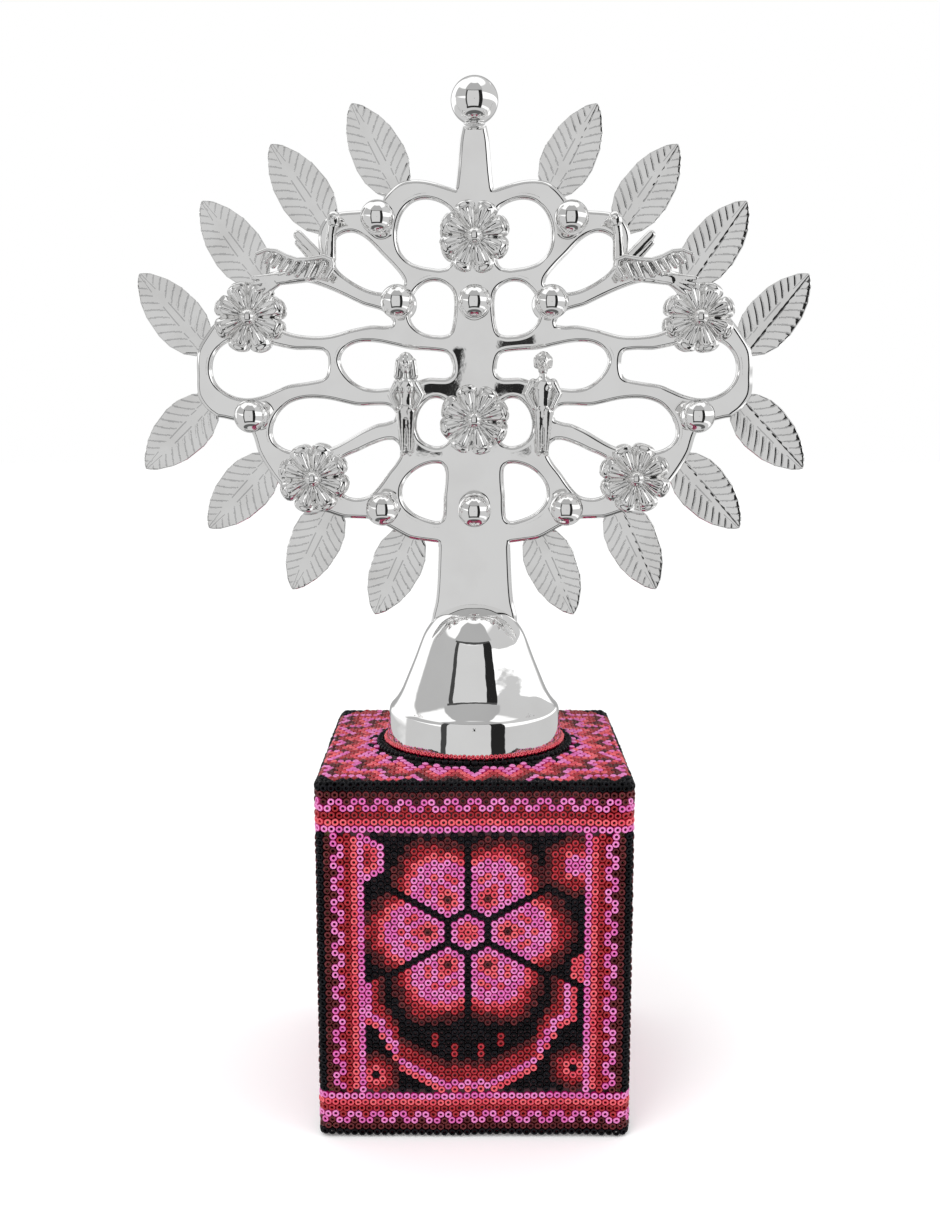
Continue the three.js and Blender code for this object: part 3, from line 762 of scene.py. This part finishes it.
FIGURE_EYE = ((0.62, -1.65, 24.7), (0.68, -1.65, 24.7), 0.24, 0.24, 1)
FIGURE_POSTS = (16, 3)
FIGURE_HAIR = {
    "woman": [((0, 0.6, 25.6), (0, 0.4, 26.3), 2.3, 1.9, 0.9),
              ((0, 1, 25.6), (0, 1.2, 21.4), 1.6, 1.9, 0.8)],
    "man": [((0, 0.6, 25.8), (0, 0.4, 26.4), 2.5, 2, 0.85),
            ((0, 0.9, 25.4), (0, 1, 23.4), 1.6, 1.4, 0.9)]}


def figure(name, kind):
    low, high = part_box(name)
    x, feet = (low.x + high.x) / 2 / MM, low.z / MM
    limbs = FIGURE_LEG + FIGURE_SIDE[kind] + [FIGURE_EYE]
    rods = FIGURE_TRUNK[kind] + FIGURE_HEAD + FIGURE_HAIR[kind] + limbs
    rods += [((-a[0], a[1], a[2]), (-b[0], b[1], b[2]), *rest) for a, b, *rest in limbs]
    rods += [((0, 0.5, h), (0, POST_END, h), 1.1, 1.1, 1) for h in FIGURE_POSTS]
    sculpt(f"cast_{name}", placed(rods, x, feet), 0.16, 3, name)


figure("figure_woman", "woman")
figure("figure_man", "man")

# ---- beads
BEAD_HOLE = 0.4
BEAD_SIDES = 10
SMALL_BEAD = 0.62  # size of the beads against the bell, as a share
# From the bead's outer wall over its rim and down its hole: [radius, height].
BEAD_PROFILE = [(1.04, -0.75), (1.05, -0.3), (0.95, 0.0), (0.8, 0.2), (0.62, 0.28),
                (0.48, 0.18), (BEAD_HOLE, -0.12), (BEAD_HOLE - 0.02, -0.7)]
# The rim's lighter colour is a painted highlight, and the wall's deep colour is painted shade.
BEAD_HIGHLIGHT_STEPS = (2, 3, 4, 5)  # the steps of the profile that are the lighter rim
COLOURS = {letter: index for index, letter in enumerate("KMRCP")}  # as in BEAD_COLOURS
CORNER = 3.0  # radius of the cube's upright corners
COLUMNS = 47
COLUMN_STEP = 1.76  # along the side
SIDE_WIDTH = COLUMNS * COLUMN_STEP
COLUMN_BEADS = 36
BEAD_STEP = 2.0186  # along a column
FIELD_BOTTOM = 13.85
MIDDLE = 50  # between the lower and the upper beads
FLOWER_COLUMN, FLOWER_BEAD = 22, 22
COAT_HALF, COAT_TOP = half_size("bead_coat"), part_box("bead_coat")[1].z / MM
BELL_RADIUS = half_size("foot_bell")
TOP_ROW_STEP, TOP_BEAD_STEP = 1.77, 2.03  # between rows, and along a row
CIRCLE_STEP = 2.02  # along the beads round the bell
UP = Vector((0, 0, 1))

# The borders: rows by their height, and columns from a corner inwards. A zigzag is made of
# a "zig" and a "zag", side by side.
ROW_BEADS = 41
BORDER_ROWS = [(1.55, "K"), (3.25, "M"), (5.0, "zag"), (6.75, "zig"), (8.5, "R"),
               (10.2, "C"), (11.95, "P"), (86.4, "P"), (88.3, "C"), (90.15, "R"),
               (92.0, "zig"), (93.85, "zag"), (95.65, "M"), (97.4, "K")]
BORDER_COLUMNS = ["K", "M", "zag", "zig", "R", "C", "P"]
ZIGZAG = {"zig": "R", "zag": "M"}

# A petal of the flower, column by column away from its centre.
PETAL = {4: "PPP", 5: "PCCP", 6: "PCMCP", 7: "PPCCPP", 8: "PCPCPCP", 9: "PPCPPCPP",
         10: "CPPPCPPPC", 11: "RCPPPPPPCR", 12: "MRCCPPPCCRM", 13: "MMRCCCCRMM",
         14: "MMRRRRRMM", 15: "MMRRMM", 16: "MMM"}


def hex_distance(q, r, q0=0, r0=0):
    x, y = abs(q - q0), abs(r - r0)
    return max(x, y + x / 2)


def flower_colour(q, r):
    """Colour at [column, bead] from the flower's centre, the same in each sixth."""
    ring = hex_distance(q, r)
    if ring <= 2:
        return "P" if ring == 2 else "C"
    x, y = q, r
    for _ in range(6):
        if x > 0 and abs(y) < x / 2:
            row = PETAL.get(int(x), "")
            place = y + (len(row) - 1) / 2
            return row[int(round(place))] if 0 <= place < len(row) else None
        x, y = x / 2 + y, y / 2 - 3 * x / 4
    return None


def bowl_line(q):
    """Height of the bowl's pink line at a column, in beads from the flower's centre."""
    side = abs(q)
    if side <= 4:
        return -21 - 0.5 * (side % 2)
    return -21 + 0.5 * (min(side, 10) - 4) + 1.35 * max(side - 10, 0)


def bowl_colour(q, r):
    """Colour of the bowl under the flower, or None beside it."""
    side = abs(q)
    wall = {13: ("M", -10, -6), 14: ("R", -11, -6.5), 15: ("P", -12, -7)}.get(side)
    if q == 16:
        wall = ("C", -12, -8)
    if wall and wall[1] <= r <= wall[2]:
        return wall[0]
    if side > 15:
        return None
    above = r - bowl_line(q) + 0.3
    pink = 1 if side <= 10 else 2
    if side < 4 and above < 0 and q % 2:
        return None
    for limit, colour in ((-1, None), (0, "C"), (pink, "P"), (pink + 2, "R"), (pink + 3, "M")):
        if above < limit:
            return colour
    return None


MOTIFS = [  # centre [column, height], and the colours of its rings
    ((-16, 10), {1: "R", 2: "C", 3: "P"}),
    ((16, 9), {0: "P", 1: "P", 2: "RC", 3: "R", 4: "M"}),
    ((18, -5), {1: "C", 2: "C"}),
    ((-14, -20), {0: "K", 1: "C", 2: "R", 3: "M"}),
    ((16, -19), {0: "K", 1: "C", 2: "R", 3: "M"})]
SEEDS = {(2, -16), (2, -17), (5, -14.5), (5, -15.5)}  # red beads, on both sides


def field_colour(q, r):
    """Colour of the bead in a column q and at a height r from the flower's centre."""
    seed = "R" if (abs(q), r) in SEEDS else None
    colour = flower_colour(q, r) or seed or bowl_colour(q, r)
    if colour:
        return colour
    for centre, rings in MOTIFS:
        colour = rings.get(int(round(hex_distance(q, r, *centre))))
        if colour:
            return colour[q % 2] if len(colour) > 1 else colour
    return "K"


def border_colour(border, place):
    """Colour of a bead in a border: in a zigzag, each third bead is darker than pink."""
    if border in ZIGZAG:
        return "P" if place % 3 < 2 else ZIGZAG[border]
    return border


def side_beads():
    """Places [along, height] and colours of the beads on one side of the cube."""
    out = []
    for index, (z, border) in enumerate(BORDER_ROWS):
        shift = (1 if z < MIDDLE else 2) if border == "zag" else 0
        for i in range(ROW_BEADS):
            s = (i + 0.5 + 0.5 * (index % 2) - ROW_BEADS / 2) / ROW_BEADS * SIDE_WIDTH
            s = (s + SIDE_WIDTH / 2) % SIDE_WIDTH - SIDE_WIDTH / 2
            out.append((s, z, border_colour(border, i + shift)))
    for column in range(COLUMNS):
        odd = (column - FLOWER_COLUMN) % 2
        ring = min(column, COLUMNS - 1 - column)
        for bead in range(COLUMN_BEADS - odd):
            height = bead + 0.5 * odd
            if ring < len(BORDER_COLUMNS):
                border = BORDER_COLUMNS[ring]
                shown = border_colour(border, bead + (1 if border == "zig" else 2))
            else:
                shown = field_colour(column - FLOWER_COLUMN, height - FLOWER_BEAD)
            out.append(((column - COLUMNS // 2) * COLUMN_STEP,
                        FIELD_BOTTOM + BEAD_STEP * height, shown))
    return out


def side_place(s, z, half):
    """A place on a side of the cube from [along, height], and the way it faces."""
    flat = half - CORNER
    turn = 0.0
    if abs(s) > flat:
        turn = math.copysign((abs(s) - flat) / CORNER, s)
    x = math.copysign(flat, s) + CORNER * math.sin(turn) if turn else s
    y = -(flat + CORNER * math.cos(turn)) if turn else -half
    return Vector((x, y, z)), Vector((math.sin(turn), -math.cos(turn), 0))


TOP_BANDS = ((24.6, "K"), (28.6, "P"), (31.6, "C"), (34.4, "R"), (36.6, "M"), (38.6, "P"),
             (40.6, "C"), (43, "R"), (45, "M"), (47, "P"), (99, "R"))
RAYS, RAY_LENGTH = 22, 6.5


def top_colour(x, y):
    """Colour of a bead on the top of the cube: rays round the bell, and dark corners."""
    ray = abs((math.atan2(x, -y) / TAU * RAYS) % 1.0 * 2 - 1)
    if -y > 37.2 + 2.4 * ray or abs(x) + abs(y) > 75:
        return "K"
    step = math.hypot(x, y) - RAY_LENGTH * ray
    return next(colour for limit, colour in TOP_BANDS if step < limit)


def circle_beads(count, radius, height, flare, colour):
    """Beads round the bell at a height over the coat. They face up, and out by flare."""
    out = []
    for i in range(count):
        way = Vector((math.cos(TAU * i / count), math.sin(TAU * i / count), 0))
        out.append((way * radius + UP * (COAT_TOP + height), way * flare + UP, colour))
    return out


def top_beads():
    """Places, the way each faces, and colours of the beads on the top of the cube."""
    count = int(TAU * (BELL_RADIUS + 2.4) / CIRCLE_STEP)
    out = circle_beads(count, BELL_RADIUS + 2.2, 1.3, 0, "K")
    inner, clear = COAT_HALF - 2.3, BELL_RADIUS + 3.6
    rows, count = int(2 * inner / TOP_ROW_STEP), int(2 * inner / TOP_BEAD_STEP)
    for row in range(rows + 1):
        y = -inner + 2 * inner * row / rows
        for i in range(count + 1 - row % 2):
            x = -inner + 2 * inner * (i + 0.5 * (row % 2)) / count
            radius = math.hypot(x, y)
            if radius >= clear:
                rise = 0.9 * math.exp((clear - radius) / 2.5)
                out.append((Vector((x, y, COAT_TOP - 0.3 + rise)), UP, top_colour(x, y)))
    return out


def ring_beads():
    """The ring of small beads that closes the wax against the bell."""
    radius = BELL_RADIUS + 0.6
    count = int(TAU * radius / (CIRCLE_STEP * SMALL_BEAD))
    return circle_beads(count, radius, 2.4, 0.9, "C")


def edge_beads():
    """Places along one of the top edges, and the way each bead faces."""
    out = []
    for i in range(ROW_BEADS):
        s = (i + 0.5 - ROW_BEADS / 2) / ROW_BEADS * SIDE_WIDTH
        at, way = side_place(s, COAT_TOP - 0.75, COAT_HALF)
        out.append((at - way * 0.95, (way + UP).normalized()))
    return out


def bead_panel(name, beads, glass, scale=1.0):
    """One piece of many beads. Each is an open ring pressed into the wax."""
    angles = np.arange(BEAD_SIDES) / BEAD_SIDES * TAU
    ring = np.array([[r * math.cos(a), r * math.sin(a), h]
                     for a in angles for r, h in BEAD_PROFILE])
    rows = len(BEAD_PROFILE)
    pattern = np.array(turned_faces(rows, BEAD_SIDES))
    on_highlight = np.isin(np.tile(np.arange(rows - 1), BEAD_SIDES), BEAD_HIGHLIGHT_STEPS)
    points, faces, slots = [], [], []
    for number, (at, way, colour) in enumerate(beads):
        lean = Vector(rng.normal(0, 0.07, 3))
        way = (Vector(way) + lean).normalized()
        turn = way.to_track_quat("Z", "Y").to_matrix()
        size = scale * rng.normal(1.0, 0.018)
        moved = (ring * (size, size, scale * rng.normal(1.0, 0.06))) @ np.array(turn).T
        nudge = rng.normal(0, 0.035, 3)
        points.append(moved + np.array(at) + nudge)
        faces.append(pattern + number * len(ring))
        # Painted light: each bead's wall takes the deep colour as painted shade, and its rim
        # one of the two lighter colours as a painted highlight.
        shaded_wall = COLOURS[colour] * SHADES
        rim = shaded_wall + 1 + int(rng.integers(SHADES - 1))
        slots.append(np.where(on_highlight, rim, shaded_wall))
    piece(name, np.vstack(points), np.vstack(faces).tolist(), glass, "beads",
          slots=np.concatenate(slots))


def beads():
    glass = bead_glass()
    flat = side_beads()
    for index, side in enumerate(("front", "right", "back", "left")):
        turn = Matrix.Rotation(index * math.pi / 2, 3, "Z")
        for part in ("lower", "upper"):
            found = []
            for s, z, colour in flat:
                if (z < MIDDLE) == (part == "lower"):
                    wave = 0.12 * math.sin(s / 9 + index) + 0.1 * math.sin(s / 3.7 + z / 11)
                    at, way = side_place(s, z + wave, COAT_HALF - 0.3)
                    found.append((turn @ at, turn @ way, colour))
            if part == "upper":
                for at, way in edge_beads():
                    at = turn @ at
                    shown = top_colour(at.x, at.y) if index else "K"
                    found.append((at, turn @ way, shown))
            bead_panel(f"beads_{side}_{part}", found, glass)
    bead_panel("beads_top", top_beads(), glass)
    bead_panel("beads_ring", ring_beads(), glass, SMALL_BEAD)


WAX_DEPTH = 0.75  # from the outside of the CAD coat to the wax
WAX_WALL = 1.3
WAX_EDGE = 1.5  # radius of the edge round the top
WAX_SIDES = 128
WAX_POWER = 12  # how square the cap is


def wax_ring(size, z):
    """A square with round corners, `size` from its middle to a side."""
    out = []
    for i in range(WAX_SIDES):
        c, s = math.cos(TAU * i / WAX_SIDES), math.sin(TAU * i / WAX_SIDES)
        reach = size / (abs(c) ** WAX_POWER + abs(s) ** WAX_POWER) ** (1 / WAX_POWER)
        out.append((reach * c, reach * s, z))
    return out


def wax_coat():
    """The wax under the beads: a rounded cap with a round hole for the bell."""
    low, high = (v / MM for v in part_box("bead_coat"))
    half, bottom, top = high.x - WAX_DEPTH, low.z, high.z - WAX_DEPTH
    inner, ceiling = half - WAX_WALL, top - WAX_WALL
    hole = BELL_RADIUS + 0.3
    rows = [wax_ring(inner, bottom)]
    rows += [wax_ring(half, z) for z in np.linspace(bottom, top - WAX_EDGE, 12)]
    for t in np.linspace(0, math.pi / 2, 5)[1:]:
        rows.append(wax_ring(half - WAX_EDGE * (1 - math.cos(t)),
                             top - WAX_EDGE + WAX_EDGE * math.sin(t)))
    for share, rise in ((0.5, 0), (0.85, 0), (1, 0.9)):
        ring = []
        for x, y, z in wax_ring(half - WAX_EDGE, top):
            r = math.hypot(x, y)
            reach = r + (hole - r) * share
            ring.append((x / r * reach, y / r * reach, z + rise))
        rows.append(ring)
    rows.append([(x, y, ceiling) for x, y, _ in rows[-1]])
    rows += [wax_ring(inner, z) for z in np.linspace(ceiling, bottom, 4)[:-1]]
    points = [p for row in rows for p in row]
    faces = []
    for row in range(len(rows)):
        a, b = row * WAX_SIDES, (row + 1) % len(rows) * WAX_SIDES
        for i in range(WAX_SIDES):
            j = (i + 1) % WAX_SIDES
            faces.append([a + i, a + j, b + j, b + i])
    piece("wax_coat", points, faces, [WAX], "beads", ["bead_coat"])


beads()
wax_coat()

# The parts inside and underneath keep their CAD meshes.
for name, finish in (("wooden_block", WOOD), ("felt_pad", FELT), ("foot_plate", STEEL),
                     ("fixing_bolt", STEEL)):
    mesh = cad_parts[name].data
    mesh.materials.clear()
    mesh.materials.append(finish)


# ---- light, floor, camera
# Soft studio panels: [azimuth from the front, elevation, half width, half height, lean,
# softness, brightness]. Angles are in degrees, and lean moves a panel's azimuth with the
# elevation. A later panel covers an earlier one.
ROOM = 0.62  # brightness between the panels
PANELS = [
    (0, 90, 180, 34, 0, 4, 1.15),  # the top of the tent
    (75, 19, 115, 18, -5, 3, 1.3),  # the large lamp on the right
    (86, -33, 44, 5, 0, 2, 1.2),  # the strip lamp on the right
    (-128, 18, 25, 26, 0, 4, 1.2),  # the lamp on the left
    (-76, 26, 33, 15, 0, 4, 0.5),  # a grey card in front of it
    (-85, 50, 66, 8, 0, 3, 1.15),  # the white above the card
    (180, 8, 28, 34, 0, 6, 0.42),  # the dark room behind
    (-4, 57, 50, 18, 0, 3, 0.45),  # a grey board overhead
    (0, -64, 120, 9, 0, 3, 0.12),  # a dark strip below
    (31, 0, 9.5, 37, 0, 0.8, 0.02),  # the dark frame of the tent's opening
    (-40.5, 0, 4, 37, 0, 0.8, 0.06),
    (-4, -38, 44, 4.5, 0, 1, 0.03),
    (-4, 37.5, 44, 1.6, 0, 0.8, 0.08),
    (-7.5, 1, 29, 34.5, 0, 0.8, 0.665),  # the opening
    (-1.25, -0.25, 0.65, 0.55, 0, 0.15, 0.02),  # small dark things in the opening
    (-0.75, 0.5, 0.25, 0.6, 0.3, 0.15, 0.02),
    (0.1, -1.8, 1, 0.9, 0, 0.15, 0.02),
    (1.6, -0.5, 0.45, 0.28, 0, 0.1, 0.02),
    (1.85, 1.35, 0.65, 0.3, 0, 0.1, 0.03),
    (-1.75, -2.9, 0.5, 0.13, 0, 0.1, 0.04),
    (2.0, -2.8, 0.35, 0.13, 0, 0.1, 0.04),
]


def inside_panel(tree, azimuth, elevation, panel):
    az, el, wide, high, lean, soft, _ = panel
    turned = sum_up(tree, "SUBTRACT", azimuth, az)
    if lean:
        turned = sum_up(tree, "SUBTRACT", turned, sum_up(tree, "MULTIPLY", elevation, lean))
    turn = sum_up(tree, "WRAP", turned, 180.0)
    turn.node.inputs[2].default_value = -180.0
    rise = sum_up(tree, "SUBTRACT", elevation, el)
    edges = [sum_up(tree, "DIVIDE", sum_up(tree, "SUBTRACT", size + soft / 2,
                                           sum_up(tree, "ABSOLUTE", offset)), soft, True)
             for offset, size in ((turn, wide), (rise, high))]
    return sum_up(tree, "MULTIPLY", *edges)


def studio():
    """A white room. Only mirror-like reflections see its panels."""
    world = bpy.data.worlds.new("studio")
    bpy.context.scene.world = world
    world.use_nodes = True
    tree = world.node_tree
    tree.nodes.clear()
    way = node(tree, "ShaderNodeSeparateXYZ",
               {0: node(tree, "ShaderNodeTexCoord").outputs["Generated"]}).outputs
    toward = sum_up(tree, "MULTIPLY", way[1], -1.0)
    degrees = 180 / math.pi
    azimuth = sum_up(tree, "MULTIPLY", sum_up(tree, "ARCTAN2", way[0], toward), degrees)
    elevation = sum_up(tree, "MULTIPLY", sum_up(tree, "ARCSINE", way[2]), degrees)
    light = ROOM
    for panel in PANELS:
        cover = inside_panel(tree, azimuth, elevation, panel)
        levels = {0: cover, 2: light, 3: panel[-1]}
        light = node(tree, "ShaderNodeMix", levels, data_type="FLOAT").outputs[0]
    mirrored = node(tree, "ShaderNodeLightPath").outputs["Is Glossy Ray"]
    shown = node(tree, "ShaderNodeMix", {0: mirrored, 2: 1.0, 3: light}, data_type="FLOAT")
    background = node(tree, "ShaderNodeBackground",
                      {"Color": (1, 1, 1, 1), "Strength": shown.outputs[0]})
    node(tree, "ShaderNodeOutputWorld", {"Surface": background.outputs[0]})


FLOOR_SIZE = 3.0  # metres each way from the middle


def floor():
    made, tree, shader = material("pale_floor", {
        "Roughness": 0.9, "Emission Color": (1, 1, 1, 1), "Emission Strength": 0.1})
    grain = noise(tree, 40, 2)
    tree.links.new(blend_colours(tree, grain, (0.93, 0.93, 0.93), (0.95, 0.95, 0.95)),
                   shader.inputs["Base Color"])
    mesh = bpy.data.meshes.new("studio_floor")
    mesh.from_pydata([(FLOOR_SIZE * x, FLOOR_SIZE * y, 0) for x, y in
                      ((-1, -1), (1, -1), (1, 1), (-1, 1))], [], [(0, 1, 2, 3)])
    mesh.materials.append(made)
    ground = new_object("studio_floor", mesh)
    ground.visible_glossy = False


SOFTBOX_AIM, SOFTBOX_SIZE = Vector((0, 0, 0.1)), 0.6


def softbox(name, at, power):
    """A square lamp, its place in metres and its power in watts."""
    lamp = bpy.data.lights.new(name, "AREA")
    lamp.shape, lamp.size, lamp.energy = "SQUARE", SOFTBOX_SIZE, power
    made = new_object(name, lamp)
    made.location = at
    made.rotation_euler = (SOFTBOX_AIM - Vector(at)).to_track_quat("-Z", "Y").to_euler()
    made.visible_glossy = False


CAMERA_AT = (-1.2, -401, 203)
CAMERA_TILT = 9.17  # degrees down from level
SENSOR, LENS = 36.0, 42.43


def camera():
    lens = bpy.data.cameras.new("camera")
    lens.sensor_width, lens.lens, lens.clip_start = SENSOR, LENS, 0.01
    lens.sensor_fit = "AUTO"
    made = new_object("camera", lens)
    made.location = [v * MM for v in CAMERA_AT]
    made.rotation_euler = (math.radians(90 - CAMERA_TILT), 0, 0)
    bpy.context.scene.camera = made


studio()
floor()
softbox("key_light", (-0.5, -0.7, 0.8), 4)
softbox("fill_light", (0.8, -0.5, 0.5), 2)
camera()
bpy.context.scene.view_settings.view_transform = "Standard"
